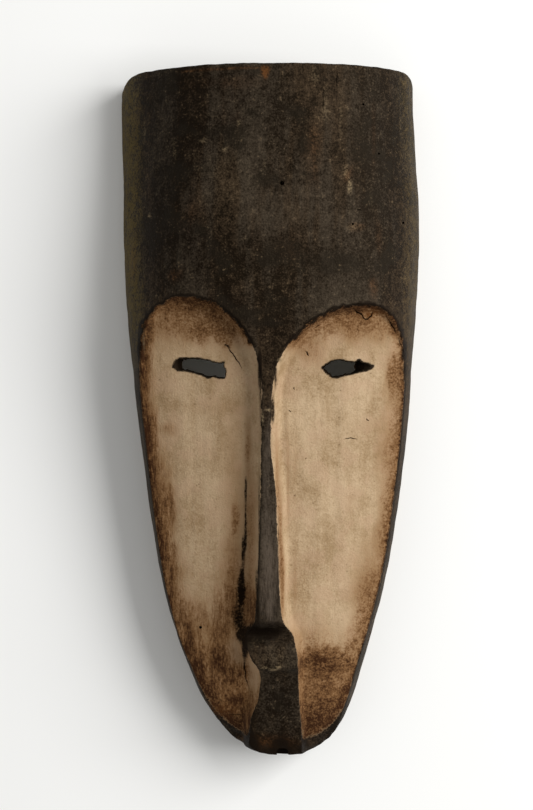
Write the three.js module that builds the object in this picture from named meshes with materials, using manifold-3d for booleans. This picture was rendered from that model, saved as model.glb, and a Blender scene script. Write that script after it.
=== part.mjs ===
// A small carved wooden face mask, hollowed from half a log, lying face up on its flat back rim.
// Millimetres. X runs to the viewer's right, Y from the chin up to the top of the forehead,
// and Z out of the face. The origin is the middle of the footprint, on the plane of the back rim.
import * as THREE from "three";
import { mergeVertices } from "three/addons/utils/BufferGeometryUtils.js";
import Module from "manifold-3d";

// Driving dimensions
const LENGTH = 250;
const RIM_WIDTH = 7.5;
const CROWN_WALL = 9;
const FACE_WALL = 6.5;
const TOP_WALL = 11;
const CHIN_WALL = 10;
const TOP = LENGTH / 2;
const CHIN = -LENGTH / 2;

// Half the width of the back rim from the top down to the jaw. Below the jaw the outline is one
// blunt arc, set by its two powers.
const JAW = -96;
const sideHalf = through([
  [JAW - 6, 29.6],
  [JAW, 31.6],
  [-80, 37],
  [-60, 42.1],
  [-40, 45.6],
  [-20, 48.3],
  [4.5, 51],
  [19, 52.3],
  [41, 54.4],
  [55, 55.2],
  [68, 55.6],
  [90, 55.3],
  [TOP, 54.9],
]);
const ARC_DROP_POWER = 1.05;
const ARC_WIDTH_POWER = 3;

// How far the corners are worn round: in plan at the top, and in height at both ends
const CORNER_RADIUS = { left: 8, right: 5 };
const CORNER_REACH = 20;
const TOP_WEAR = 1.2;
const CHIN_ROUNDING = 0.8;
const CHIN_ROUND_POWER = 3;
const CHIN_ROUND_BETWEEN = [-116, -98];

// The middle of the outline: the chin leans to the viewer's right
const centre = through([
  [CHIN, 4.6],
  [-100, 2.6],
  [-75, 1.5],
  [-24, 1.45],
  [5, 1.1],
  [30, 0.6],
  [60, 0.5],
  [77, 0.34],
  [106, -0.8],
  [TOP, -1.15],
]);

// Height of the uncut log face along the middle of the mask
const crown = through([
  [CHIN, 27],
  [-105, 35.5],
  [-74, 42.5],
  [-30, 43.5],
  [0, 45],
  [20, 47],
  [40, 49.3],
  [60, 50],
  [95, 48.5],
  [TOP, 47.2],
]);

// How square the cross-section is: a round forehead, rounder on the viewer's left, and a face
// with steep sides that lean in more towards the jaw, most of all on the viewer's right
const squareness = {
  left: through([
    [CHIN, 4.2],
    [-108, 3.3],
    [-60, 3.4],
    [5, 3.6],
    [50, 2.4],
    [TOP, 1.9],
  ]),
  right: through([
    [CHIN, 4.2],
    [-108, 2.7],
    [-90, 2.65],
    [-60, 2.9],
    [5, 3.4],
    [50, 2.6],
    [TOP, 2.5],
  ]),
};

// The hollow's cross-section, how far its ends round down and in what curve, and where it rises
// from behind the cheeks to behind the forehead
const hollowSquareness = through([
  [CHIN, 3.2],
  [10, 3.2],
  [50, 2.7],
  [TOP, 2.7],
]);
const HOLLOW_END = 28;
const HOLLOW_POWER = 2.4;
const HOLLOW_RISE_BETWEEN = [20, 60];

// Height of the two hollowed cheeks, and how far they fall away towards the sides
const cheek = through([
  [CHIN, 20],
  [-105, 26.5],
  [-90, 29.2],
  [-74, 31],
  [-30, 35],
  [0, 37.2],
  [18, 38.8],
  [36, 41],
  [46, 42],
]);
const cheekFall = through([
  [CHIN, 5],
  [-100, 6.5],
  [-40, 9.6],
  [TOP, 10],
]);
const CHEEK_FALL_POWER = 2;
const CHIN_HALF_WIDTH = 12;

// Below the nose the middle strip drops to a hollow, rises to the mouth, and drops to the chin band
const NOSE_END = -72.5;
const strip = through([
  [CHIN, 25],
  [-117, 27.6],
  [-105, 31],
  [-93, 34.6],
  [-91, 37.9],
  [-87, 38.6],
  [-83, 38.2],
  [-79.6, 35],
  [-77.6, 36],
  [-74.8, 41.8],
  [NOSE_END, 42.6],
]);

// The left and right edges of the middle strip, and the width of the walls that slope down from
// them to the cheeks
const stripLeft = through([
  [CHIN, -8.6],
  [-110, -6.9],
  [-103, -4.4],
  [-95.5, -3.5],
  [-91.5, -4],
  [-88, -6.4],
  [-80, -9],
  [-73, -5.4],
  [-50, -4.1],
  [-20, -3.2],
  [10, -3.1],
]);
const stripRight = through([
  [CHIN, 12],
  [-103, 10.5],
  [-88, 9.8],
  [-80.5, 8.6],
  [-73, 4.4],
  [-66, 3.5],
  [-50, 2.75],
  [-30, 2.1],
  [-23, 1.6],
  [-10, 0.1],
  [10, 0.6],
]);
const wallLeft = through([
  [CHIN, 2],
  [-96, 3.6],
  [-73, 3.4],
  [-25, 5.5],
  [5, 5],
  [38, 2.2],
]);
const wallRight = through([
  [CHIN, 1.6],
  [-96, 1.8],
  [-73, 3.2],
  [-25, 3.4],
  [5, 3.4],
  [38, 2.2],
]);

// Each cheek is a long leaf. Two quarter ellipses meet at its apex under the brow. From there the
// outer edge keeps a margin inside the rim and runs off it lower down, and the inner edge is the
// nose's. The right cheek starts a little lower than the left one.
const CHEEKS = [
  {
    side: -1,
    apex: [-30.5, 42.4],
    outer: [-48.6, 22],
    inner: [-2.8, 7.2],
    edge: stripLeft,
    wall: wallLeft,
    margin: through([
      [-46, -3],
      [-30, 0.6],
      [-10, 1.7],
      [8, 2.6],
      [22, 4],
    ]),
  },
  {
    side: 1,
    apex: [34.6, 39.5],
    outer: [50.4, 17.5],
    inner: [0.4, 5.4],
    edge: stripRight,
    wall: wallRight,
    margin: through([
      [-46, -3],
      [-30, 0.6],
      [-10, 1.7],
      [17.5, 2.9],
    ]),
  },
];
const BROW_WALL = 2.2;
const LEAST_STEP = 0.8;
const CHIN_REACH = 22;

// The eye slits: the viewer's left one is a slanting slot, the right one a pointed almond
const EYES = [
  { at: [-25.6, 16.9], half: [9.4, 2.65], power: 4, tilt: -8 },
  { at: [27.6, 16.4], half: [9.2, 3], power: 1.7, tilt: 0 },
];
const EYE_POINTS = 20;

// A square bite out of the lower edge of the chin
const NOTCH = { x: 4.6, width: 4.6, depth: 3.6, floor: 21 };

// How finely the surfaces are laid out
const OUTSIDE = { rows: 28, fan: 22, flank: 7, across: 6 };
const INSIDE = { rows: 20, fan: 12, flank: 4, across: 6 };
const END_ROWS = [0, 0.5, TOP_WEAR];
const MOUTH_ROWS = [-70, -72.5, -73.7, -74.8, -76.2, -77.6, -79.6, -81.3, -83, -87, -91, -92, -93];
const FLANK = 6;
const FLANK_GROWTH = 2.2;
const CHIN_ROWS = [-98, -104, -110, -115, -119, -122, CHIN];
const CHEEK_MESH = { arch: 14, rows: 16, across: 6, spineTop: 12, bottom: CHIN - 6 };
const BELOW_RIM = 6;
const ABOVE = 80;
const SAME_POINT = 1e-4;

const WOOD_FINISH = { color: 0x6b5a48, roughness: 0.85, metalness: 0 };

// A smooth curve through the given [y, value] points that never overshoots them
function through(points) {
  const gaps = points.slice(1).map((p, i) => p[0] - points[i][0]);
  const slopes = gaps.map((gap, i) => (points[i + 1][1] - points[i][1]) / gap);
  const tangents = points.map((_, i) => {
    if (i === 0 || i === slopes.length) return 0;
    const [before, after] = [slopes[i - 1], slopes[i]];
    return before * after <= 0 ? 0 : (2 * before * after) / (before + after);
  });
  return (y) => {
    if (y <= points[0][0]) return points[0][1];
    if (y >= points[points.length - 1][0]) return points[points.length - 1][1];
    const i = gaps.findIndex((_, k) => y <= points[k + 1][0]);
    const t = (y - points[i][0]) / gaps[i];
    const t2 = t * t;
    const t3 = t2 * t;
    return (
      (2 * t3 - 3 * t2 + 1) * points[i][1] +
      (t3 - 2 * t2 + t) * gaps[i] * tangents[i] +
      (3 * t2 - 2 * t3) * points[i + 1][1] +
      (t3 - t2) * gaps[i] * tangents[i + 1]
    );
  };
}

const lerp = THREE.MathUtils.lerp;
const smoothstep = THREE.MathUtils.smoothstep;
const between = (low, x, high) => Math.min(Math.max(x, low), high);

// A plan is the outline of the outside, or of the hollow, which is narrower and shorter
const OUTER_PLAN = { inset: 0, top: TOP, chin: CHIN };
const INNER_PLAN = { inset: RIM_WIDTH, top: TOP - TOP_WALL, chin: CHIN + CHIN_WALL };

// Half the width of a plan at height y, and the y of its lower edge at a sideways distance s
function halfWidth(plan, y) {
  const below = between(0, (JAW - y) / (JAW - plan.chin), 1);
  const side = sideHalf(Math.max(y, JAW)) - plan.inset;
  return side * (1 - below ** ARC_DROP_POWER) ** (1 / ARC_WIDTH_POWER);
}

function lowerEdge(plan, s) {
  const across = between(0, Math.abs(s) / (sideHalf(JAW) - plan.inset), 1);
  return lerp(JAW, plan.chin, (1 - across ** ARC_WIDTH_POWER) ** (1 / ARC_DROP_POWER));
}

// Height of the log face before the cheeks are cut
function logFace(x, y) {
  const across = between(0, Math.abs(x - centre(y)) / halfWidth(OUTER_PLAN, y), 1);
  const power = (x < centre(y) ? squareness.left : squareness.right)(y);
  const wear = between(0, 1 - (TOP - y) / TOP_WEAR, 1);
  const worn = TOP_WEAR * (1 - Math.sqrt(1 - wear ** 2));
  return (crown(y) - worn) * (1 - across ** power) ** (1 / power);
}

// The log face, cut down along the mouth and chin and worn round at the chin's corner
function outsideHeight(x, y, inset) {
  const cut = y < NOSE_END ? Math.min(logFace(x, y), strip(y)) : logFace(x, y);
  const flat = 1 - between(0, inset / CHIN_ROUNDING, 1);
  const rounded = (1 - flat ** 2) ** (1 / CHIN_ROUND_POWER);
  return cut * lerp(rounded, 1, smoothstep(y, ...CHIN_ROUND_BETWEEN));
}

// Height of the hollowed cheeks
function cheekHeight(x, y) {
  const half = Math.max(halfWidth(OUTER_PLAN, y), CHIN_HALF_WIDTH);
  const across = between(0, Math.abs(x - centre(y)) / half, 1);
  return cheek(y) - cheekFall(y) * across ** CHEEK_FALL_POWER;
}

// The hollow follows the outside, a wall's thickness further in, and rounds down at both ends
function insideHeight(x, y) {
  const face = lerp(cheek(y), crown(y), smoothstep(y, ...HOLLOW_RISE_BETWEEN)) - FACE_WALL;
  const roof = Math.min(crown(y) - CROWN_WALL, face);
  const power = hollowSquareness(y);
  const across = between(0, Math.abs(x - centre(y)) / halfWidth(INNER_PLAN, y), 1);
  const fromEnd = Math.min(INNER_PLAN.top - y, y - INNER_PLAN.chin) / HOLLOW_END;
  const end = (1 - (1 - between(0, fromEnd, 1)) ** HOLLOW_POWER) ** (1 / HOLLOW_POWER);
  return roof * (1 - across ** power) ** (1 / power) * end;
}

// The lines of points of one surface, from the right of the top, round the chin, to the left of
// it. Each line runs from the rim to the middle, with its points close together on the flank.
function surfaceLines(plan, { rows, fan, flank, across }, height) {
  const lines = [];
  const addLine = (rimX, rimY, hubX, hubY) => {
    const length = Math.hypot(hubX - rimX, hubY - rimY);
    const insets = [
      ...Array.from({ length: flank }, (_, k) => FLANK * (k / flank) ** FLANK_GROWTH),
      ...Array.from({ length: across + 1 }, (_, k) => lerp(FLANK, length, k / across)),
    ];
    lines.push(
      insets.map((inset) => {
        const x = lerp(rimX, hubX, inset / length);
        const y = lerp(rimY, hubY, inset / length);
        return [x, y, inset === 0 ? 0 : height(x, y, inset)];
      }),
    );
  };
  const ends = END_ROWS.map((row) => plan.top - row);
  const even = Array.from({ length: rows }, (_, j) =>
    lerp(plan.top, MOUTH_ROWS[0], (j + 1) / (rows + 1)),
  );
  const ys = [...ends, ...even, ...MOUTH_ROWS, JAW];
  for (const y of ys) addLine(centre(y) + halfWidth(plan, y), y, centre(y), y);
  for (let i = 1; i < fan; i++) {
    const s = halfWidth(plan, JAW) * Math.cos((Math.PI * i) / fan);
    const y = lowerEdge(plan, s);
    addLine(centre(y) + s, y, centre(JAW), JAW);
  }
  for (const y of ys.toReversed()) addLine(centre(y) - halfWidth(plan, y), y, centre(y), y);
  return lines;
}

// Collects triangles, leaving out those that have shrunk to a line
function skin() {
  const positions = [];
  const same = (a, b) => a.every((value, axis) => value === b[axis]);
  const triangle = (a, b, c) => {
    if (same(a, b) || same(b, c) || same(c, a)) return;
    positions.push(...a, ...b, ...c);
  };
  const quad = (a, b, c, d) => {
    triangle(a, b, c);
    triangle(a, c, d);
  };
  const geometry = () => {
    const made = new THREE.BufferGeometry();
    return made.setAttribute("position", new THREE.Float32BufferAttribute(positions, 3));
  };
  return { triangle, quad, geometry };
}

// A closed solid under a surface, with a flat end at the top and a flat base
function solidUnder(lines, base) {
  const { quad, geometry } = skin();
  const onBase = ([x, y]) => [x, y, base];
  const last = lines[0].length - 1;
  for (let m = 0; m + 1 < lines.length; m++) {
    for (let k = 0; k < last; k++) {
      const patch = [lines[m][k], lines[m][k + 1], lines[m + 1][k + 1], lines[m + 1][k]];
      quad(...patch);
      quad(...patch.map(onBase).reverse());
    }
    quad(lines[m][0], lines[m + 1][0], onBase(lines[m + 1][0]), onBase(lines[m][0]));
  }
  const end = [...lines[lines.length - 1], ...lines[0].slice(0, last).reverse()];
  for (let k = 0; k + 1 < end.length; k++) {
    quad(end[k], end[k + 1], onBase(end[k + 1]), onBase(end[k]));
  }
  return geometry();
}

// The two upper corners, which are worn round in plan
function roundCorners(lines, plan) {
  return lines.map((line) =>
    line.map(([x, y, z]) => {
      const radius = x < centre(y) ? CORNER_RADIUS.left : CORNER_RADIUS.right;
      const beyond = 1 - (halfWidth(plan, y) - Math.abs(x - centre(y))) / radius;
      const drop = radius * (1 - Math.sqrt(1 - between(0, beyond, 1) ** 2));
      return [x, y - drop * smoothstep(y, plan.top - CORNER_REACH, plan.top), z];
    }),
  );
}

// The outline of a cheek from the bottom of its outer edge, over the apex, to the bottom of its
// inner edge. Each point has the point of the cheek's spine it faces and the width of its wall.
function cheekOutline({ side, apex, outer, inner, edge, wall, margin }) {
  const { arch, rows, spineTop, bottom } = CHEEK_MESH;
  const onArch = (corner, angle) => [
    apex[0] + (corner[0] - apex[0]) * Math.cos(angle),
    corner[1] + (apex[1] - corner[1]) * Math.sin(angle),
  ];
  const angleAt = (corner, y) => Math.asin((y - corner[1]) / (apex[1] - corner[1]));
  const outerX = (y) =>
    centre(y) + side * (Math.max(halfWidth(OUTER_PLAN, y), CHIN_REACH) - margin(y));
  const innerX = (y) => (y > inner[1] ? onArch(inner, angleAt(inner, y))[0] : edge(y));
  const spine = (y) => [(outerX(y) + innerX(y)) / 2, y];
  const hub = spine(spineTop);
  const steps = Array.from({ length: arch }, (_, i) => i / arch);
  const even = Array.from({ length: rows }, (_, j) => lerp(spineTop, MOUTH_ROWS[0], j / rows));
  const ys = [...even, ...MOUTH_ROWS, ...CHIN_ROWS, bottom];
  return [
    ...ys.toReversed().map((y) => ({ at: [outerX(y), y], hub: spine(y), wall: BROW_WALL })),
    ...steps.map((t) => ({ at: onArch(outer, (t * Math.PI) / 2), hub, wall: BROW_WALL })),
    ...steps.map((t) => {
      const at = onArch(inner, lerp(Math.PI / 2, angleAt(inner, spineTop), t));
      return { at, hub, wall: wall(at[1]) };
    }),
    ...ys.map((y) => ({ at: [innerX(y), y], hub: spine(y), wall: wall(y) })),
  ];
}

// The wood that is taken out of one cheek: a sloping wall down from the edge, and the cheek
function cheekCutter(shape) {
  const { triangle, quad, geometry } = skin();
  const lines = cheekOutline(shape).map(({ at, hub, wall }) => {
    const length = Math.hypot(hub[0] - at[0], hub[1] - at[1]);
    const along = (inset) => [0, 1].map((axis) => lerp(at[axis], hub[axis], inset / length));
    const foot = cheekHeight(...along(wall));
    const step = Math.max(outsideHeight(...at, CHIN_ROUNDING) - foot, LEAST_STEP);
    const floor = Array.from({ length: CHEEK_MESH.across + 1 }, (_, k) => {
      const [x, y] = along(lerp(wall, length, k / CHEEK_MESH.across));
      return [x, y, cheekHeight(x, y)];
    });
    return [
      [...hub, ABOVE],
      [...along(-wall), ABOVE],
      [...along(-wall), foot + 2 * step],
      ...floor,
    ];
  });
  const turned = shape.side > 0 ? (corners) => corners.reverse() : (corners) => corners;
  for (let m = 0; m + 1 < lines.length; m++) {
    for (let k = 0; k + 1 < lines[m].length; k++) {
      quad(...turned([lines[m][k], lines[m + 1][k], lines[m + 1][k + 1], lines[m][k + 1]]));
    }
  }
  const [first, last] = [lines[0], lines[lines.length - 1]];
  for (let k = 1; k + 1 < first.length; k++) {
    triangle(...turned([first[0], first[k], first[k + 1]]));
    triangle(...turned([last[0], last[k + 1], last[k]]));
  }
  return geometry();
}

function eyeCutter({ at, half, power, tilt }) {
  const outline = Array.from({ length: EYE_POINTS }, (_, i) => {
    const angle = (2 * Math.PI * (i + 0.5)) / EYE_POINTS;
    const [c, s] = [Math.cos(angle), Math.sin(angle)];
    const x = half[0] * Math.sign(c) * Math.abs(c) ** (2 / power);
    const y = half[1] * Math.sign(s) * Math.abs(s) ** (2 / power);
    return new THREE.Vector2(x, y).rotateAround(new THREE.Vector2(), (tilt * Math.PI) / 180);
  });
  const slit = new THREE.ExtrudeGeometry(new THREE.Shape(outline), {
    depth: ABOVE,
    bevelEnabled: false,
  });
  return slit.translate(at[0], at[1], BELOW_RIM);
}

function notchCutter() {
  const { x, width, depth, floor } = NOTCH;
  const box = new THREE.BoxGeometry(width, 2 * depth, ABOVE);
  return box.translate(x, CHIN, floor + ABOVE / 2);
}

const wasm = await Module();
wasm.setup();

function solidFrom(geometry) {
  const bare = geometry.clone();
  bare.deleteAttribute("normal");
  bare.deleteAttribute("uv");
  const merged = mergeVertices(bare, SAME_POINT);
  return new wasm.Manifold(
    new wasm.Mesh({
      numProp: 3,
      vertProperties: new Float32Array(merged.attributes.position.array),
      triVerts: new Uint32Array(merged.index.array),
    }),
  );
}

function geometryFrom(solid) {
  const { vertProperties, triVerts } = solid.getMesh();
  const geometry = new THREE.BufferGeometry();
  geometry.setAttribute("position", new THREE.Float32BufferAttribute(vertProperties, 3));
  geometry.setIndex(new THREE.Uint32BufferAttribute(triVerts, 1));
  geometry.computeVertexNormals();
  return geometry;
}

function buildMask() {
  const log = surfaceLines(OUTER_PLAN, OUTSIDE, outsideHeight);
  const hollow = surfaceLines(INNER_PLAN, INSIDE, insideHeight);
  const cutters = [
    solidUnder(roundCorners(hollow, INNER_PLAN), -BELOW_RIM),
    ...CHEEKS.map(cheekCutter),
    ...EYES.map(eyeCutter),
    notchCutter(),
  ];
  const carved = cutters.reduce(
    (solid, cutter) => solid.subtract(solidFrom(cutter)),
    solidFrom(solidUnder(roundCorners(log, OUTER_PLAN), 0)),
  );
  const wood = new THREE.MeshStandardMaterial(WOOD_FINISH);
  const mask = new THREE.Mesh(geometryFrom(carved), wood);
  mask.name = "mask";
  return mask;
}

const part = new THREE.Group();
part.add(buildMask());

export default part;
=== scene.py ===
import itertools
import math

import bpy
import numpy as np
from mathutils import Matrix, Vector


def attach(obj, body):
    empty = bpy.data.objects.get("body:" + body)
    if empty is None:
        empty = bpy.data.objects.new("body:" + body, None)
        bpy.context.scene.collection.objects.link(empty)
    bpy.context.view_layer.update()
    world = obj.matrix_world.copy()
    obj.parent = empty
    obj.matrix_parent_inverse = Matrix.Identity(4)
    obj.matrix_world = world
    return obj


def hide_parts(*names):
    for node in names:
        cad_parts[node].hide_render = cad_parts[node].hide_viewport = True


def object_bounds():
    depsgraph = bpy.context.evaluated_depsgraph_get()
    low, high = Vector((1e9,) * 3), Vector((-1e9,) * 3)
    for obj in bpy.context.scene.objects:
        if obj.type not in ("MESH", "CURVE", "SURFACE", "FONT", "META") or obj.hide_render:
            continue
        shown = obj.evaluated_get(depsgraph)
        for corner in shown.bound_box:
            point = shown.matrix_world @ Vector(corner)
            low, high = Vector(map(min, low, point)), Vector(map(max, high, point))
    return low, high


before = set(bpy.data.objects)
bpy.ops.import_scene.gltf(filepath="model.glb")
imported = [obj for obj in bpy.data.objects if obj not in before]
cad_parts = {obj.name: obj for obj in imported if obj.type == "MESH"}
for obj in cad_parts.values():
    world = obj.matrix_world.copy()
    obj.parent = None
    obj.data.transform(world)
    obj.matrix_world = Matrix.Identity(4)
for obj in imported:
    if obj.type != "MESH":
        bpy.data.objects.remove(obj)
FRAME_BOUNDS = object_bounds()

bl_info = {
    "name": "Carved face mask",
    "version": (1, 0, 0),
    "blender": (4, 5, 0),
    "location": "3D View > Sidebar > Mask",
    "description": "A carved wooden face mask with whitened cheeks, on a pale floor",
    "category": "Object",
}

MM = 0.001
TINY = 1e-6


def through(*points):
    """A smooth curve through the given (y, value) points that never overshoots them."""
    at, values = np.array(points, float).T
    gaps = np.diff(at)
    slopes = np.diff(values) / gaps
    product = slopes[:-1] * slopes[1:]
    total = np.where(product > 0, slopes[:-1] + slopes[1:], 1)
    inner = np.where(product > 0, 2 * product / total, 0)
    tangents = np.concatenate([[0], inner, [0]])

    def curve(y):
        y = np.clip(y, at[0], at[-1])
        i = np.clip(np.searchsorted(at, y) - 1, 0, len(gaps) - 1)
        t = (y - at[i]) / gaps[i]
        return (
            (2 * t**3 - 3 * t**2 + 1) * values[i]
            + (t**3 - 2 * t**2 + t) * gaps[i] * tangents[i]
            + (3 * t**2 - 2 * t**3) * values[i + 1]
            + (t**3 - t**2) * gaps[i] * tangents[i + 1]
        )

    return curve


# Driving sizes of the solid, in millimetres. Its length comes from the frame
TOP = FRAME_BOUNDS[1][1] / MM
CHIN = FRAME_BOUNDS[0][1] / MM
JAW = -96
NOSE_END = -72.5
RIM_WIDTH = 7.5
TOP_WALL = 11
CHIN_WALL = 10
CROWN_WALL = 9
FACE_WALL = 6.5
BROW_WALL = 2.2
CORNER_RADIUS_LEFT = 8
CORNER_RADIUS_RIGHT = 5
CORNER_REACH = 20
TOP_WEAR = 1.2
CHIN_ROUNDING = 0.8
CHIN_ROUND_BETWEEN = (-116, -98)
HOLLOW_END = 28

# The least half widths that the fall and the margin of the cheeks are measured with near the
# chin, the least height of the walls round a cheek, and how far the crease on top is rounded
CHIN_HALF_WIDTH = 12
CHIN_REACH = 22
LEAST_STEP = 0.8
CREASE_REACH = 0.7

# From which y to which y the hollow's roof rises from the cheeks to the crown, and the middle of
# the surfaces moves from between the cheeks to the centre of the forehead
INSIDE_RISE = (20, 60)
MIDDLE_SHIFT = (10, 60)

# How the walls round the cheeks are blended where they meet and at their foot, and how far up they
# go on, each as a share of the wall's height
WALL_CORNER = 0.15
WALL_FOOT = 0.22
WALL_LIMIT = 2

# The powers and the slope that shape the round parts
ARC_DROP_POWER = 1.05
ARC_WIDTH_POWER = 3
CHIN_ROUND_POWER = 3
HOLLOW_POWER = 2.4
CHEEK_FALL_POWER = 2
FLANK_SLOPE = 1.4

# How far the cutters reach past the wood
BELOW_RIM = 6
ABOVE = 60

# Half the width of the back rim down to the jaw, and the middle of the outline
side_half = through(
    (JAW - 6, 29.6), (JAW, 31.6), (-80, 37), (-60, 42.1), (-40, 45.6), (-20, 48.3), (4.5, 51),
    (19, 52.3), (41, 54.4), (55, 55.2), (68, 55.6), (90, 55.3), (TOP, 54.9),
)
centre = through(
    (CHIN, 4.6), (-100, 2.6), (-75, 1.5), (-24, 1.45), (5, 1.1), (30, 0.6), (60, 0.5), (77, 0.34),
    (106, -0.8), (TOP, -1.15),
)

# Height of the uncut log face along the middle, and how square its cross-section is
crown = through(
    (CHIN, 27), (-105, 35.5), (-74, 42.5), (-30, 43.5), (0, 45), (20, 47), (40, 49.3), (60, 50),
    (95, 48.5), (TOP, 47.2),
)
square_left = through((CHIN, 4.2), (-108, 3.3), (-60, 3.4), (5, 3.6), (50, 2.4), (TOP, 1.9))
square_right = through(
    (CHIN, 4.2), (-108, 2.7), (-90, 2.65), (-60, 2.9), (5, 3.4), (50, 2.6), (TOP, 2.5),
)
square_hollow = through((CHIN, 3.2), (10, 3.2), (50, 2.7), (TOP, 2.7))

# Height of the hollowed cheeks, and how far they fall away towards the sides
cheek = through(
    (CHIN, 20), (-105, 26.5), (-90, 29.2), (-74, 31), (-30, 35), (0, 37.2), (18, 38.8), (36, 41),
    (46, 42),
)
cheek_fall = through((CHIN, 5), (-100, 6.5), (-40, 9.6), (TOP, 10))

# Height of the middle strip below the nose: a hollow, the mouth, and the chin band
strip = through(
    (CHIN, 25), (-117, 27.6), (-105, 31), (-93, 34.6), (-91, 37.9), (-87, 38.6), (-83, 38.2),
    (-79.6, 35), (-77.6, 36), (-74.8, 41.8), (NOSE_END, 42.6),
)

# Each cheek is bounded by two quarter ellipses that meet at its apex under the brow, by a margin
# inside the rim, and by an edge of the middle strip with a sloping wall
CHEEKS = [
    {
        "side": -1,
        "apex": (-30.5, 42.4),
        "outer": (-48.6, 22),
        "inner": (-2.8, 7.2),
        "edge": through(
            (CHIN, -8.6), (-110, -6.9), (-103, -4.4), (-95.5, -3.5), (-91.5, -4), (-88, -6.4),
            (-80, -9), (-73, -5.4), (-50, -4.1), (-20, -3.2), (10, -3.1),
        ),
        "wall": through((CHIN, 2), (-96, 3.6), (-73, 3.4), (-25, 5.5), (5, 5), (38, 2.2)),
        "margin": through((-46, -3), (-30, 0.6), (-10, 1.7), (8, 2.6), (22, 4)),
    },
    {
        "side": 1,
        "apex": (34.6, 39.5),
        "outer": (50.4, 17.5),
        "inner": (0.4, 5.4),
        "edge": through(
            (CHIN, 12), (-103, 10.5), (-88, 9.8), (-80.5, 8.6), (-73, 4.4), (-66, 3.5),
            (-50, 2.75), (-30, 2.1), (-23, 1.6), (-10, 0.1), (10, 0.6),
        ),
        "wall": through((CHIN, 1.6), (-96, 1.8), (-73, 3.2), (-25, 3.4), (5, 3.4), (38, 2.2)),
        "margin": through((-46, -3), (-30, 0.6), (-10, 1.7), (17.5, 2.9)),
    },
]

# The ragged outlines of the two eye slits on the face, and how far in from its left and right
# ends each slit meets the underside
EYES = [
    {
        "outline": [
            (-35, 17.4), (-34.4, 19.3), (-32.6, 20.3), (-25.5, 20.3), (-21.5, 19.4), (-18.6, 18.5),
            (-16.5, 18.9), (-16.9, 17.4), (-15.9, 16), (-16.3, 13.4), (-18.4, 13.2), (-20.2, 14),
            (-22.4, 13.4), (-24.4, 14.5), (-27.3, 15.3), (-30.5, 16), (-33.4, 16.2),
        ],
        "slant": (3.2, 0),
    },
    {
        "outline": [
            (18.6, 16.9), (20.1, 18.2), (22.2, 19.4), (25.1, 19.8), (28, 19.2), (30.4, 18.9),
            (32.1, 19.9), (33, 18.9), (35.2, 18.5), (37.2, 17.6), (36.6, 16.9), (34.5, 16),
            (31.6, 15.5), (29.1, 14.7), (26.5, 14.3), (24.4, 13.5), (22.2, 13.7), (20.4, 15.1),
        ],
        "slant": (2.2, 8),
    },
]

# The height of the face at the eyes and how far down the slits narrow, the height of the outline
# on the underside as a share of that on the face, and its lift, the distance between two rings
# of the cutter, and the length and the size of the ragged steps along its edge
EYE_FACE_HEIGHT = 34.4
EYE_WALL_DEPTH = 5
EYE_FOOT_HEIGHT = 0.84
EYE_FOOT_LIFT = 0.3
EYE_ROW = 0.6
RAGGED_STEP = 0.8
RAGGED_MOVE = 0.14

# A bite out of the lower edge of the chin
NOTCH = [(2.3, -128), (2.5, -122.2), (3.4, -121.4), (5.8, -121.6), (6.7, -122.6), (6.6, -128)]
NOTCH_FLOOR = 21

# Worm holes as (x, y, radius)
WORM_HOLES = [
    (4.2, 81.8, 0.8),
    (33.2, 110.8, 0.42),
    (38.9, 93.5, 0.42),
    (48.1, 69.4, 0.45),
    (29.3, 67.7, 0.42),
    (-25.3, -77.3, 0.55),
]
WORM_DEPTH = 4
WORM_CLEARANCE = 2
WORM_SIDES = 12

# Cracks, gouges and nicks as (points along it, width, depth)
CRACKS = [
    ([(-16.1, 25.4), (-14, 22.9), (-12.6, 20.6), (-10.8, 18.5), (-10.1, 16.2)], 0.8, 1.1),
    ([(28.4, 39), (31.4, 37.2), (34.4, 34.2)], 1, 2),
    ([(32.4, 34.8), (34.9, 34.4), (37.4, 37)], 1, 1.4),
    ([(-16.8, 25.4), (-15.6, 24.9), (-14.2, 23.4)], 1.5, 1),
    ([(40.6, 36.8), (43, 33.6), (45.2, 29.6)], 0.8, 1.2),
    ([(46.2, 27.6), (47.9, 24.4), (48.9, 21)], 0.6, 1),
    ([(-9.6, -80.4), (-9, -86), (-9.4, -88.5), (-9, -95), (-7.6, -99.4), (-6.4, -101)], 0.7, 1),
    ([(-15.6, -110), (-12.2, -109.6), (-8.4, -109.2)], 0.5, 0.8),
    ([(-9, -28.4), (-9.1, -40), (-9, -52), (-9.9, -60), (-10.3, -66)], 0.5, 0.6),
    ([(12.4, 23), (13.3, 22), (14, 21)], 1.1, 0.9),
    ([(8.5, 10.1), (8.9, 9.1)], 0.8, 1),
    ([(6.6, 1.9), (7.4, 0.8)], 0.8, 1),
    ([(26.4, -8.7), (28.4, -8.2), (31.6, -8.8)], 0.5, 1),
    ([(34.6, -1.2), (35.8, -2.2)], 0.8, 1),
    ([(-8.1, -13), (-8, -18.6)], 0.6, 0.5),
    ([(-30.6, 39.2), (-28, 37.7), (-25.3, 36.1)], 0.4, 0.35),
    ([(-19.9, 29.6), (-17.6, 28), (-15.4, 26.6)], 0.4, 0.35),
    ([(18.9, 116), (18.6, 110), (18.8, 105.6)], 0.5, 0.6),
    ([(23.5, 123.4), (23.6, 119.6), (23.4, 116.2)], 0.5, 0.7),
    ([(30.6, 72.9), (31.6, 72.6), (32.6, 72.8)], 1.1, 0.9),
]

# The step and the sideways wander of a crack, how blunt its tips are, and how its width varies
CRACK_STEP = 0.8
CRACK_WANDER = 0.16
CRACK_TIP = 0.08
CRACK_SPREAD = (0.7, 1.2)

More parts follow.
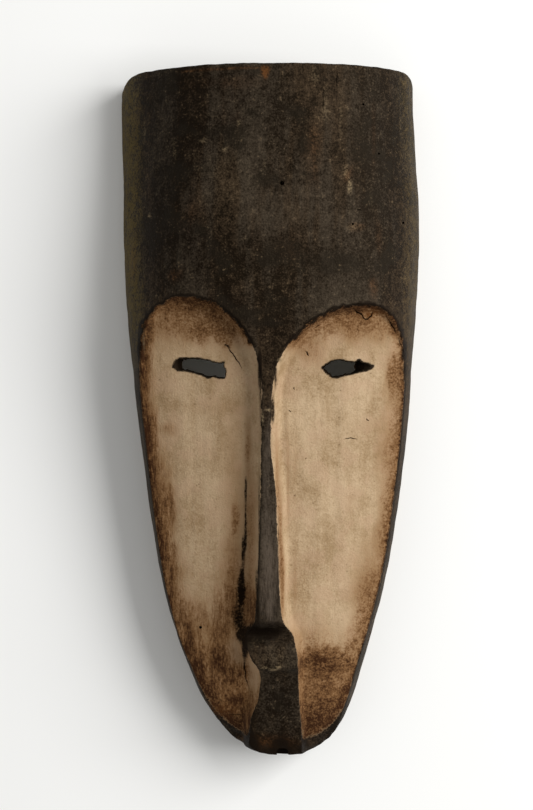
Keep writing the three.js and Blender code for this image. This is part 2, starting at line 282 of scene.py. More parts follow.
# Sizes of the tool marks, the wear and the chips: across and along, or along X, Y and Z
STROKE = (8.5, 15)
FLANK_CUT = (19, 9)
END_CUT = (9, 7)
GOUGE = (7, 13)
LUMP = (3.2, 5, 3.2)
FINE_WEAR = (1.3, 2.6, 1.3)
CHEEK_WAVE = (4.5, 26, 9)
SCRAPE = (1.5, 14, 5)
CHIP = (2.6, 2, 2.6)
TORN = (2, 6, 2)
CHIPPED_BELOW = (111, 119)

# How deep they go
STROKE_DEPTH = 0.42
FLANK_CUT_DEPTH = 0.55
END_CUT_DEPTH = 0.3
GOUGE_DEPTH = 0.8
LUMP_DEPTH = 0.2
FINE_DEPTH = 0.1
WAVE_DEPTH = 0.3
SCRAPE_DEPTH = 0.1
CLAY_FINE_DEPTH = 0.06
CHIP_DEPTH = 0.7
TORN_DEPTH = 0.15

# How finely the surfaces are laid out. Points below the rim's level lie on the rim, and the lines
# are closest together over the flank, next to the outline
TOP_ROWS = (0, 0.2, 0.45, 0.75)
INSIDE_TOP_ROWS = (0, 0.4, 1)
RIM_LEVEL = 0.01
FACE_STEP = 0.64
FOREHEAD_STEP = 0.95
BROW_LINE = 46
OUTSIDE_FAN = 140
OUTSIDE_FLANK = 12
OUTSIDE_ACROSS = 86
INSIDE_STEP = 2.2
INSIDE_FAN = 36
INSIDE_FLANK = 7
INSIDE_ACROSS = 20
END_ROWS = 12
FLANK = 6
FLANK_GROWTH = 2.2

# The random patterns start again after this many cells
LATTICE = 32

OUTER_PLAN = (0, TOP, CHIN)
INNER_PLAN = (RIM_WIDTH, TOP - TOP_WALL, CHIN + CHIN_WALL)


def clip01(value):
    return np.clip(value, 0, 1)


def smooth(value, low, high):
    """0 below low, 1 above high, and a smooth rise in between."""
    t = clip01((value - low) / (high - low))
    return t * t * (3 - 2 * t)


def soft_min(a, b, reach):
    """The lower of two heights, with the crease between them rounded over a reach."""
    share = clip01(0.5 + 0.5 * (b - a) / reach)
    return b + (a - b) * share - reach * share * (1 - share)


def noise(x, y, z, sizes, seed):
    """Smooth random values from 0 to 1 that change over the given sizes along X, Y and Z."""
    cells = np.random.default_rng(seed).random((LATTICE,) * 3)
    place = np.stack([x / sizes[0], y / sizes[1], z / sizes[2]])
    low = np.floor(place).astype(int)
    share = place - low
    share = share * share * (3 - 2 * share)
    total = np.zeros(place.shape[1:])
    for corner in itertools.product((0, 1), repeat=3):
        weight = np.ones(place.shape[1:])
        for axis, side in enumerate(corner):
            weight = weight * (share[axis] if side else 1 - share[axis])
        cell = [(low[axis] + side) % LATTICE for axis, side in enumerate(corner)]
        total += weight * cells[tuple(cell)]
    return total


def scallops(x, y, sizes, seed):
    """Shallow overlapping tool cuts: 0 in the middle of each and up to 1 on the ridges between."""
    random = np.random.default_rng(seed).random((LATTICE, LATTICE, 2))
    column = np.floor(x / sizes[0]).astype(int)
    row = np.floor(y / sizes[1]).astype(int)
    nearest = np.full(np.shape(x), 9.0)
    for aside, along in itertools.product((-1, 0, 1), repeat=2):
        cell = random[(column + aside) % LATTICE, (row + along) % LATTICE]
        dx = x / sizes[0] - (column + aside + cell[..., 0])
        dy = y / sizes[1] - (row + along + cell[..., 1])
        nearest = np.minimum(nearest, dx**2 + dy**2)
    return clip01(nearest)


def half_width(plan, y):
    """Half the width of a plan at y."""
    inset, _, chin = plan
    below = clip01((JAW - y) / (JAW - chin))
    side = side_half(np.maximum(y, JAW)) - inset
    return side * (1 - below**ARC_DROP_POWER) ** (1 / ARC_WIDTH_POWER)


def lower_edge(plan, aside):
    """The y of a plan's lower edge at a sideways distance from its middle."""
    inset, _, chin = plan
    across = clip01(np.abs(aside) / (side_half(JAW) - inset))
    return JAW + (chin - JAW) * (1 - across**ARC_WIDTH_POWER) ** (1 / ARC_DROP_POWER)


def share_across(plan, x, y, least):
    """0 on the centre line and 1 on the outline."""
    return clip01(np.abs(x - centre(y)) / np.maximum(half_width(plan, y), least))


def log_height(x, y, inset):
    """Height of the log face, cut down along the mouth and chin and worn at its ends."""
    across = share_across(OUTER_PLAN, x, y, TINY)
    power = np.where(x < centre(y), square_left(y), square_right(y))
    wear = clip01(1 - (TOP - y) / TOP_WEAR)
    worn = TOP_WEAR * (1 - np.sqrt(1 - wear**2))
    log = (crown(y) - worn) * (1 - across**power) ** (1 / power)
    cut = np.where(y < NOSE_END, np.minimum(log, strip(y)), log)
    rounded = (1 - (1 - clip01(inset / CHIN_ROUNDING)) ** 2) ** (1 / CHIN_ROUND_POWER)
    return cut * (1 + (rounded - 1) * (1 - smooth(y, *CHIN_ROUND_BETWEEN)))


def cheek_height(x, y):
    """Height of the floor of the cheeks."""
    across = share_across(OUTER_PLAN, x, y, CHIN_HALF_WIDTH)
    return cheek(y) - cheek_fall(y) * across**CHEEK_FALL_POWER


def inside_quarter(dx, dy, a, b):
    """How far a point lies inside an ellipse of half-axes a and b, near its edge."""
    far = np.hypot(dx / a, dy / b)
    steep = np.hypot(dx / a**2, dy / b**2)
    return np.where(far > TINY, (1 - far) * far / np.maximum(steep, TINY**2), min(a, b))


def cheek_distances(shape, x, y):
    """How far a point lies inside a cheek's outer edge and its nose edge."""
    side = shape["side"]
    apex = shape["apex"]
    found = []
    for corner, away in ((shape["outer"], side), (shape["inner"], -side)):
        a = abs(corner[0] - apex[0])
        b = apex[1] - corner[1]
        dx = np.maximum(away * (x - apex[0]), 0)
        arch = inside_quarter(dx, np.maximum(y - corner[1], 0), a, b)
        if away == side:
            reach = np.maximum(half_width(OUTER_PLAN, y), CHIN_REACH)
            straight = side * (centre(y) - x) + reach - shape["margin"](y)
        else:
            straight = side * (x - shape["edge"](y))
        found.append(np.where(y > corner[1], arch, straight))
    return found


def cut_height(shape, x, y):
    """Height of one cheek and of the walls round it."""
    outer, inner = cheek_distances(shape, x, y)
    floor = cheek_height(x, y)
    step = np.maximum(log_height(x, y, CHIN_ROUNDING) - floor, LEAST_STEP)
    outer_wall = 1 - outer / BROW_WALL
    inner_wall = 1 - inner / shape["wall"](y)
    wall = -soft_min(-outer_wall, -inner_wall, WALL_CORNER)
    return floor + step * np.clip(-soft_min(-wall, 0, WALL_FOOT), 0, WALL_LIMIT)


def face_height(x, y, inset):
    """Height of the carved outside."""
    height = log_height(x, y, inset)
    for shape in CHEEKS:
        height = soft_min(height, cut_height(shape, x, y), CREASE_REACH)
    return np.maximum(height, 0)


def inside_height(x, y, inset):
    """Height of the hollow, which follows the outside and rounds down at both ends."""
    raised = cheek(y) + (crown(y) - cheek(y)) * smooth(y, *INSIDE_RISE) - FACE_WALL
    roof = np.minimum(crown(y) - CROWN_WALL, raised)
    power = square_hollow(y)
    across = share_across(INNER_PLAN, x, y, TINY)
    _, top, chin = INNER_PLAN
    from_end = clip01(np.minimum(top - y, y - chin) / HOLLOW_END)
    end = (1 - (1 - from_end) ** HOLLOW_POWER) ** (1 / HOLLOW_POWER)
    return roof * (1 - across**power) ** (1 / power) * end


def surface(plan, rows, fan, flank, across, height):
    """Points of a surface, in lines from the outline to the middle: down the right side from the
    top, round the chin, and up the left side. Their numbers join up along the middle, which runs
    down the forehead's centre and then between the edges of the cheeks."""
    left_edge, right_edge = [shape["edge"](rows) for shape in CHEEKS]
    middle = (left_edge + right_edge) / 2
    middle = middle + (centre(rows) - middle) * smooth(rows, *MIDDLE_SHIFT)
    turn = np.arange(1, fan) * math.pi / fan
    aside = half_width(plan, JAW) * np.cos(turn)
    low = lower_edge(plan, aside)
    wide = half_width(plan, rows)
    rim_x = np.concatenate([centre(rows) + wide, centre(low) + aside, (centre(rows) - wide)[::-1]])
    rim_y = np.concatenate([rows, low, rows[::-1]])
    to_x = np.concatenate([middle, np.full(fan - 1, middle[-1]), middle[::-1]])
    to_y = np.concatenate([rows, np.full(fan - 1, rows[-1]), rows[::-1]])
    length = np.hypot(to_x - rim_x, to_y - rim_y)[:, None]
    close = FLANK * (np.arange(flank) / flank) ** FLANK_GROWTH
    even = FLANK + (length - FLANK) * np.arange(across + 1) / across
    insets = np.concatenate([np.broadcast_to(close, (len(rim_x), flank)), even], axis=1)
    x = rim_x[:, None] + (to_x - rim_x)[:, None] * insets / length
    y = rim_y[:, None] + (to_y - rim_y)[:, None] * insets / length
    z = height(x, y, insets)
    z[:, 0] = 0
    numbers = np.arange(x.size).reshape(x.shape)
    last = len(rows) - 1
    numbers[len(rows) : len(rows) + fan - 1, -1] = numbers[last, -1]
    numbers[len(rows) + fan - 1 :, -1] = numbers[: len(rows), -1][::-1]
    radius = np.where(x < centre(y), CORNER_RADIUS_LEFT, CORNER_RADIUS_RIGHT)
    beyond = clip01(1 - (half_width(plan, y) - np.abs(x - centre(y))) / radius)
    drop = radius * (1 - np.sqrt(1 - beyond**2))
    y = y - drop * smooth(y, plan[1] - CORNER_REACH, plan[1])
    return np.stack([x, y, z], axis=-1).reshape(-1, 3), numbers


def strips(lines):
    """Four-cornered faces between neighbouring lines of point numbers."""
    faces = []
    for here, there in zip(lines[:-1], lines[1:]):
        faces += zip(here[:-1], here[1:], there[1:], there[:-1])
    return faces


def close_solid(name, points, numbers, base, end_rows):
    """A closed mesh under a surface, with a flat end at the top and a flat base. The base lies on
    the plane of the surface's outline, or below it, with a wall down to it all round."""
    faces = strips(numbers)
    chain = np.concatenate([numbers[-1], numbers[0][-2::-1]])
    share = np.linspace(0, 1, end_rows)[1:, None]
    upper = points[chain]
    added = []
    columns = [chain]
    total = len(points)
    if base == 0:
        upper = upper[1:-1]
    for row in share:
        level = upper.copy()
        level[:, 2] = upper[:, 2] + (base - upper[:, 2]) * row
        fresh = total + np.arange(len(level))
        if base == 0:
            fresh = np.concatenate([chain[:1], fresh, chain[-1:]])
        columns.append(fresh)
        added.append(level)
        total += len(level)
    faces += strips(columns)
    rim = numbers[:, 0]
    if base < 0:
        skirt = points[rim[1:-1]].copy()
        skirt[:, 2] = base
        fresh = total + np.arange(len(skirt))
        below = np.concatenate([columns[-1][-1:], fresh, columns[-1][:1]])
        faces += strips([rim, below])
        added.append(skirt)
        rim = below
    faces.append([*rim, *columns[-1][1:-1]])
    return new_mesh(name, np.concatenate([points, *added]), faces)


def new_mesh(name, points, faces):
    """A mesh object from points in millimetres. Corners that a face repeats are dropped."""
    clean = []
    for face in faces:
        corners = [int(n) for n in face]
        corners = [n for i, n in enumerate(corners) if n != corners[i - 1]]
        if len(corners) > 2:
            clean.append(corners)
    used = np.unique(np.concatenate([np.array(face) for face in clean]))
    renumbered = np.zeros(len(points), int)
    renumbered[used] = np.arange(len(used))
    mesh = bpy.data.meshes.new(name)
    packed = (np.array(points)[used] * MM).tolist()
    mesh.from_pydata(packed, [], [[int(renumbered[n]) for n in face] for face in clean])
    mesh.validate()
    made = bpy.data.objects.new(name, mesh)
    bpy.context.scene.collection.objects.link(made)
    return made


def read_points(mesh, what="co"):
    """Vertex places in millimetres, or their normals."""
    values = np.zeros(len(mesh.vertices) * 3, np.float32)
    mesh.vertices.foreach_get(what, values)
    scale = 1 / MM if what == "co" else 1
    return values.reshape(-1, 3).astype(float) * scale


def write_points(mesh, points):
    mesh.vertices.foreach_set("co", (points * MM).astype(np.float32).ravel())
    mesh.update()


def outside_relief(points, normals, seed):
    """How far tool marks, wear and breaks go into the wood, in millimetres. The brow, the flanks
    and the top end are hewn, the cheeks are scraped along the grain, and the chin is chipped."""
    x, y, z = points.T
    up = clip01(normals[:, 2])
    endward = smooth(normals[:, 1], 0.3, 0.8)
    flank = (1 - up) * (1 - 0.8 * endward)
    end = smooth(y, TOP - 0.8, TOP - 0.1) * endward * smooth(crown(y) - z, 2, 8)
    cheeks = cheek_cover(x, y)
    fine = noise(x, y, z, FINE_WEAR, seed + 3)
    wood = STROKE_DEPTH * up * scallops(x + 0.35 * y, y - 0.2 * x, STROKE, seed)
    wood += FLANK_CUT_DEPTH * flank * scallops(y + 0.3 * z, z, FLANK_CUT, seed + 1)
    wood += LUMP_DEPTH * noise(x, y, z, LUMP, seed + 2) + FINE_DEPTH * fine
    clay = WAVE_DEPTH * noise(x, y, z, CHEEK_WAVE, seed + 4)
    clay += SCRAPE_DEPTH * noise(x, y, z, SCRAPE, seed + 5) + CLAY_FINE_DEPTH * fine
    chips = CHIP_DEPTH * smooth(-y, *CHIPPED_BELOW) * noise(x, y, z, CHIP, seed + 6) ** 2
    hewn = END_CUT_DEPTH * end * scallops(x, z, END_CUT, seed + 7)
    return wood * (1 - cheeks) + clay * cheeks + chips + hewn


def inside_relief(points, seed):
    """Gouge marks in the hollow, in millimetres into the wood."""
    x, y, z = points.T
    gouged = GOUGE_DEPTH * (1 - scallops(x + 0.2 * z, y, GOUGE, seed))
    return gouged + TORN_DEPTH * noise(x, y, z, TORN, seed)


def cheek_insets(shape, x, y):
    """How far a point lies inside a cheek's outer edge and its nose edge. Low down, the cheek's
    outer edge is where it runs out of the log's flank."""
    outer, inner = cheek_distances(shape, x, y)
    carved = (log_height(x, y, CHIN_ROUNDING) - cheek_height(x, y)) / FLANK_SLOPE
    return np.minimum(outer, carved), inner


def cheek_cover(x, y):
    """1 on the hollowed cheeks and 0 on the rest of the outside."""
    cover = np.zeros(np.shape(x))
    for shape in CHEEKS:
        outer, inner = cheek_insets(shape, x, y)
        cover = np.maximum(cover, smooth(outer, 0.2, 2.2) * smooth(inner, 0, 0.8))
    return cover


def loft(name, rings):
    """A closed solid through rings of points, from the highest ring down."""
    count = len(rings[0])
    bottom = (len(rings) - 1) * count
    faces = [list(range(count)), list(range(bottom, bottom + count))[::-1]]
    for level in range(len(rings) - 1):
        for i in range(count):
            j = (i + 1) % count
            top = level * count
            low = top + count
            faces.append([top + i, low + i, low + j, top + j])
    return new_mesh(name, np.concatenate([np.array(ring, float) for ring in rings]), faces)


def turned_left(outline):
    """The outline, running anticlockwise when seen from above."""
    area = sum(a[0] * b[1] - b[0] * a[1] for a, b in zip(outline, outline[1:] + outline[:1]))
    return outline if area > 0 else outline[::-1]


def walk(points):
    """The length of a path, and a function that gives the points at some distances along it."""
    path = np.array(points, float)
    run = np.concatenate([[0], np.cumsum(np.hypot(*np.diff(path, axis=0).T))])

    def line_at(at):
        return np.stack([np.interp(at, run, values) for values in path.T], axis=1)

    return run[-1], line_at


def ragged(outline, random):
    """The outline in short steps, each moved a little to one side or the other."""
    length, line_at = walk([*outline, outline[0]])
    line = line_at(np.arange(0, length - RAGGED_STEP / 2, RAGGED_STEP))
    return line + random.normal(0, RAGGED_MOVE, line.shape)


def eye_cutter(eye, random):
    """A slit that gets a little lower on its way in, with ends that slant inwards."""
    outline = ragged(turned_left(eye["outline"]), random)
    x, y = outline.T
    middle = (np.min(x) + np.max(x)) / 2
    beyond = (x - middle) / (np.max(x) - middle)
    left, right = eye["slant"]
    foot_x = x + beyond**2 * np.where(beyond < 0, left, -right)
    foot_y = np.mean(y) + (y - np.mean(y)) * EYE_FOOT_HEIGHT + EYE_FOOT_LIFT
    rings = [[(*corner, ABOVE) for corner in outline]]
    highest = EYE_FACE_HEIGHT + EYE_WALL_DEPTH
    for z in np.arange(highest, EYE_FACE_HEIGHT - EYE_WALL_DEPTH, -EYE_ROW):
        down = clip01((EYE_FACE_HEIGHT - z) / EYE_WALL_DEPTH)
        ring = np.stack([x + (foot_x - x) * down, y + (foot_y - y) * down], axis=1)
        rings.append([(*corner, z) for corner in ring])
    rings.append([(*corner, BELOW_RIM) for corner in ring])
    return loft("eye_cutter", rings)


def crack_cutter(points, width, depth, random):
    """A wandering groove with a sharp bottom that runs out at both ends. The cutter stands as high
    above the face as it goes below it, and is twice as wide up there."""
    length, line_at = walk(points)
    count = max(int(length / CRACK_STEP), 3)
    line = line_at(np.linspace(0, length, count + 1))
    ahead = np.gradient(line, axis=0)
    ahead /= np.hypot(*ahead.T)[:, None]
    aside = np.stack([-ahead[:, 1], ahead[:, 0]], axis=1)
    line += aside * random.normal(0, CRACK_WANDER, (count + 1, 1))
    full = np.sqrt(np.sin(np.linspace(CRACK_TIP, math.pi - CRACK_TIP, count + 1)))
    half = 0.5 * width * full * random.uniform(*CRACK_SPREAD, count + 1)
    ground = face_height(line[:, 0], line[:, 1], np.full(count + 1, FLANK))
    edges = [
        np.column_stack([line + aside * half[:, None] * out, ground + depth * full * up])
        for out, up in ((2, 1), (-2, 1), (0, -1))
    ]
    n = count + 1
    faces = [[0, n, 2 * n], [n - 1, 3 * n - 1, 2 * n - 1]]
    for i in range(count):
        faces.append([i, i + 1, n + i + 1, n + i])
        faces.append([i, 2 * n + i, 2 * n + i + 1, i + 1])
        faces.append([n + i, n + i + 1, 2 * n + i + 1, 2 * n + i])
    return new_mesh("crack_cutter", np.concatenate(edges), [face[::-1] for face in faces])


def worm_cutter(x, y, radius):
    """A round pin that goes straight down into the face."""
    turns = np.arange(WORM_SIDES) * 2 * math.pi / WORM_SIDES
    ring = [(x + radius * math.cos(t), y + radius * math.sin(t)) for t in turns]
    ground = float(face_height(np.array([x]), np.array([y]), np.array([FLANK]))[0])
    levels = (ground + WORM_CLEARANCE, ground - WORM_DEPTH)
    return loft("worm_cutter", [[(px, py, level) for px, py in ring] for level in levels])


def counts(mesh):
    """How many vertices, edges and faces a mesh has."""
    return len(mesh.vertices), len(mesh.edges), len(mesh.polygons)


def cut_with(target, cutters):
    """Takes each cutter out of the target, and then removes the cutter. A cutter that takes
    nothing away is an error."""
    for cutter in cutters:
        step = target.modifiers.new("cut", "BOOLEAN")
        step.operation = "DIFFERENCE"
        step.solver = "MANIFOLD"
        step.object = cutter
        graph = bpy.context.evaluated_depsgraph_get()
        before = target.data
        target.data = bpy.data.meshes.new_from_object(target.evaluated_get(graph))
        target.modifiers.clear()
        if counts(target.data) == counts(before):
            raise RuntimeError(f"{cutter.name} has cut nothing out of {target.name}")
        bpy.data.meshes.remove(before)
        bpy.data.objects.remove(cutter)


# The finish's sizes, in millimetres: the wander of the stains' outlines, as how far it goes and
# its size along X, Y and Z, how far it goes for large stains, how wide the dark lines along the
# brow arches and on the lips of the eyes are, which are partly painted shade, how large the frayed
# bits of the clay's edge are, how far apart the slope of the face is taken, and what counts as far
# away
WANDERS = ((0.8, (5, 9, 1)), (0.35, (1.4, 3.4, 1)))
WANDER_REACH = 8
ARCH_LINE = 0.75
SLIT_LIP_SHADE_WIDTH = 0.42
FRAY = (1.6, 1.6, 1.6)
SLOPE_STEP = 0.1
FAR = 40

# Dirt on the clay and marks on the wood as (x, y, half width, half height, strength). Some marks
# are painted shade, a painted shadow, a painted highlight or a painted sheen, as said above them.
# A negative strength is a place that is cleaned again by rubbing
DIRT_AND_SHADE = [
    (-46.5, 14, 5, 26, 0.45),
    (-44, -18, 6, 16, 0.45),
    (-44, -4, 3.6, 8, 0.9),
    (-38, -5, 4, 2.4, 0.3),
    (-37, -29, 4, 7, 0.4),
    (-40, -46, 5.6, 26, 0.8),
    (-36, -62, 7, 14, 0.5),
    (-31, -84, 7, 18, 0.5),
    (-30, 36, 22, 9, 0.55),
    (-28, 41, 18, 4, 0.6),
    (-18, 30, 8, 8, 0.4),
    (-44, 31, 3, 8, 0.6),
    (-28, 29, 18, 4, 0.12),
    (-46, -15, 4, 12, 0.6),
    (-47, 20, 2.6, 20, 0.6),
    (-20, -104, 20, 38, 0.8),
    (-16, -108, 13, 9, 0.4),
    (-18.5, -89.3, 2.4, 5, 0.7),
    (-25, -90, 2, 5, 0.3),
    (-13, -95, 4.4, 3.4, 0.6),
    (-14, -112, 9, 4, 0.6),
    (-13, -85.5, 3, 7, -0.9),
    (-6.4, -95, 3, 9, -0.9),
    (-20.4, -95.5, 5, 3, -0.8),
    (-13.4, -101, 4, 2.2, -1.2),
    (-26, -82, 3, 8, -0.4),
    (-12.6, -38.5, 1.6, 7, 0.5),
    (-21, 3, 12, 3, 0.12),
    # Painted shade in the hollow left of the nose and on the nose's left wall, which face away
    # from the key light
    (-12, -36, 6, 40, 0.24),
    (-14, -62, 5, 20, 0.45),
    (-6.8, -48, 2.4, 32, 0.35),
    (-6.4, -72, 4, 9, 0.7),
    (-8, -12, 1.2, 10, 0.35),
    (30, 35, 20, 9, 0.6),
    (31, 39.5, 14, 3, 0.6),
    (13, 27, 7, 10, 0.4),
    (47, 2, 5, 28, 0.4),
    (44, -22, 6, 18, 0.25),
    (43, -42, 5, 16, 0.5),
    (37, -70, 8, 24, 0.55),
    (18, -118, 26, 40, 0.85),
    (14, -82, 12, 5, 0.2),
    (15, -110, 8, 8, 0.4),
    (17.8, -89.8, 9.6, 7.6, 1),
    (43.8, 14, 3, 8, 0.5),
    (42, -12, 5, 10, 0.2),
    (48.6, 6, 1.6, 26, 0.5),
    (46, 33, 3.4, 6, 0.7),
    (33, -4, 9, 4, 0.12),
    (6.4, -24, 0.7, 22, 0.3),
    (4.4, -62, 1.1, 16, 0.6),
    (3.5, -42, 0.9, 18, 0.5),
    (2.4, -22, 0.8, 16, 0.4),
    (9, -16, 1.6, 12, 0.2),
    (9, -60, 1, 16, 0.25),
]
BLACK = [
    # Painted shadow that the nose casts to its left, widening down to the nose's end, with black
    # dirt in it
    (-8.7, -26, 0.4, 6, 0.7),
    (-8.8, -40, 0.5, 12, 0.8),
    (-9.7, -51, 0.7, 7, 0.9),
    (-10.1, -59, 1.2, 7, 1),
    (-10.4, -66, 1.8, 7, 1),
    (-10.6, -73, 2.6, 6, 1),
    (-9.6, -79.5, 3, 3.4, 1),
    (-6, -76.5, 3, 4, 0.7),
    (-4.8, -62, 0.8, 10, 0.7),
    (-7, -119, 2.4, 5, 0.8),
    (12.8, -120, 2.2, 4, 0.8),
    (0.9, 4, 0.7, 8, 0.8),
    (-9, -84, 1.1, 3.4, 1),
    (-3.9, -38, 0.5, 32, 0.6),
    (-4.4, -68, 0.7, 9, 0.6),
    (2.9, -48, 0.4, 28, 0.5),
    (-3.6, 17, 0.8, 8, 0.9),
    (1.9, 14, 0.8, 7, 0.8),
    (-3.4, 2, 0.4, 12, 0.7),
    # Painted shade under the end of the nose
    (-3, -78.4, 9, 2.6, 0.95),
    (-7, -77, 3, 2.4, 1),
    (0, -74.4, 7, 1, 0.5),
    (-9.2, -92, 0.6, 9, 0.3),
    (41, 37, 5, 1, 0.4),
    (47, 29, 2, 8, 0.4),
    # Black in the notch at the chin's edge, partly dirt and partly painted shade in the recess
    (4.6, -123.4, 2.8, 3.6, 1),
    (4, -119, 3, 1.6, 0.7),
    (2, -122.6, 20, 3, 0.6),
]
RED = [
    (37, 99, 1, 17, 0.16),
    (38.5, 64, 1.4, 7, 0.16),
    (15.5, 92, 3, 14, 0.22),
    (-10, 118, 12, 3, 0.12),
    (6, 60, 10, 7, 0.1),
    (-44, 84, 2, 20, 0.12),
    (-34, 50, 3, 3, 0.3),
    (37, 45, 2.4, 4, 0.3),
    (-1.5, 121.6, 1.4, 2.4, 1),
    (-17, 123, 16, 0.8, 0.4),
    (-22, 118, 9, 3, 0.12),
    (-27, 72, 7, 6, 0.16),
    (0, -120, 16, 4, 0.3),
    (31, 66.8, 3.4, 1.6, 0.34),
    (4, -46, 0.6, 26, 0.35),
    (-9, -92, 1.8, 11, 0.5),
    (5.8, -4, 0.4, 8, 0.3),
    (7.4, -20, 0.4, 8, 0.3),
    (27.4, 85, 2, 4, 0.4),
    (38, 36.5, 5.4, 2.2, 0.5),
    (-50, 55, 2, 9, 0.2),
    (-20, -108, 9, 3, 0.4),
]
SOOTY = [
    (41, 96, 14, 50, 0.6),
    (36, 92, 5, 56, 0.4),
    (44, 90, 6, 60, 0.4),
    (26, 100, 12, 40, 0.25),
    (4, 100, 9, 24, 0.7),
    (22, 54, 30, 22, 0.4),
    (-36, 96, 13, 40, 0.7),
    (-40, 62, 13, 30, 0.6),
    (-22, 116, 28, 11, 0.6),
    (-24, 104, 14, 10, 0.5),
    (-22, 58, 24, 16, 0.4),
    (-5, 48, 14, 14, 0.4),
    (0, 34, 18, 22, 0.4),
    (0, -14, 4, 30, 0.4),
    (2, -86, 11, 10, 0.4),
    (3, -106, 11, 14, 0.9),
    (2, -120, 26, 6, 1),
    (-18, -113, 9, 8, 1),
    (24, -113, 9, 8, 1),
]
PALE = [
    (15.9, 120, 2, 3.4, 0.25),
    (28.2, 81, 0.9, 3, 0.6),
    (26.8, 86.6, 1.2, 2.6, 0.35),
    (28, 72.6, 0.7, 1.6, 0.25),
    (30, 66.6, 3, 1, 0.3),
    (-21, 105.4, 7, 0.5, 0.3),
    (-22, 106.6, 0.8, 0.8, 0.5),
    (-11, 103.4, 0.7, 0.7, 0.8),
    (19.5, 106.4, 3, 2, 0.2),
    (-43.6, 71.9, 0.5, 0.9, 0.8),
    (-45.7, 103.6, 0.6, 5, 0.4),
    (-45.6, 27, 0.4, 8, 0.3),
    (-43.6, 36, 0.4, 4, 0.3),
    (-40.6, 42.6, 2, 0.5, 0.3),
    (-34.2, 94, 1, 5, 0.34),
    (-24, 97.5, 1.6, 0.9, 0.3),
    (-16, 94, 1.2, 0.7, 0.3),
    (1.5, 74, 5, 0.5, 0.2),
    (19.6, 112, 1.2, 8, 0.2),
    (25, 106, 0.8, 9, 0.2),
    (-2, 88, 0.6, 2, 0.3),
    (36, 77, 0.8, 8, 0.16),
    (-30, 74, 2, 3, 0.16),
    (-17, 83, 14, 16, 0.12),
    # A painted highlight on the nose just under the brow
    (-2.7, -1.4, 0.4, 2.6, 0.9),
    (-0.4, 1.8, 1.3, 0.5, 1),
    (3.2, 19.4, 1, 0.6, 1),
    (12, -115.8, 0.5, 2, 1),
    (1, -86, 7, 5, 0.17),
    (-1.7, -90.6, 1.4, 0.4, 1),
    (0.9, -91.2, 1.6, 0.35, 1),
    (2.9, -90.4, 0.8, 0.35, 0.9),
]
RUBBED_AND_SHEEN = [
    # Grey rubbed wear down the nose, which is partly a painted sheen on its ridge
    (-0.8, -44, 2.8, 40, 0.5),
    (1.4, -56, 2.4, 24, 0.4),
    (-1.6, -68, 2.6, 8, 0.3),
    (-0.6, -8, 1, 12, 0.3),
]


def outside_by(outline, x, y):
    """How far a point lies outside an outline, or 0 inside it."""
    nearest = np.full(np.shape(x), np.inf)
    inside = np.zeros(np.shape(x), bool)
    for a, b in zip(outline, outline[1:] + outline[:1]):
        dx = b[0] - a[0]
        dy = b[1] - a[1]
        share = clip01(((x - a[0]) * dx + (y - a[1]) * dy) / (dx**2 + dy**2))
        nearest = np.minimum(nearest, np.hypot(x - a[0] - share * dx, y - a[1] - share * dy))
        if dy != 0:
            inside ^= ((a[1] > y) != (b[1] > y)) & (x < a[0] + dx * (y - a[1]) / dy)
    return np.where(inside, 0, nearest)


def stain(x, y, marks, seed):
    """How strongly the given marks cover a place. Their outlines wander a little, and those of
    large marks no further than those of small ones."""
    wander = x * 0
    for step, (share, sizes) in enumerate(WANDERS):
        wander += share * (noise(x, y, x * 0, sizes, seed + step) - 0.5)
    clear = np.ones(np.shape(x))
    for at_x, at_y, wide, high, strength in marks:
        calm = min(1, WANDER_REACH / max(wide, high))
        far = np.hypot((x - at_x) / wide, (y - at_y) / high) + wander * calm
        clear *= 1 - strength * smooth(-far, -1.5, -0.1)
    return 1 - clear


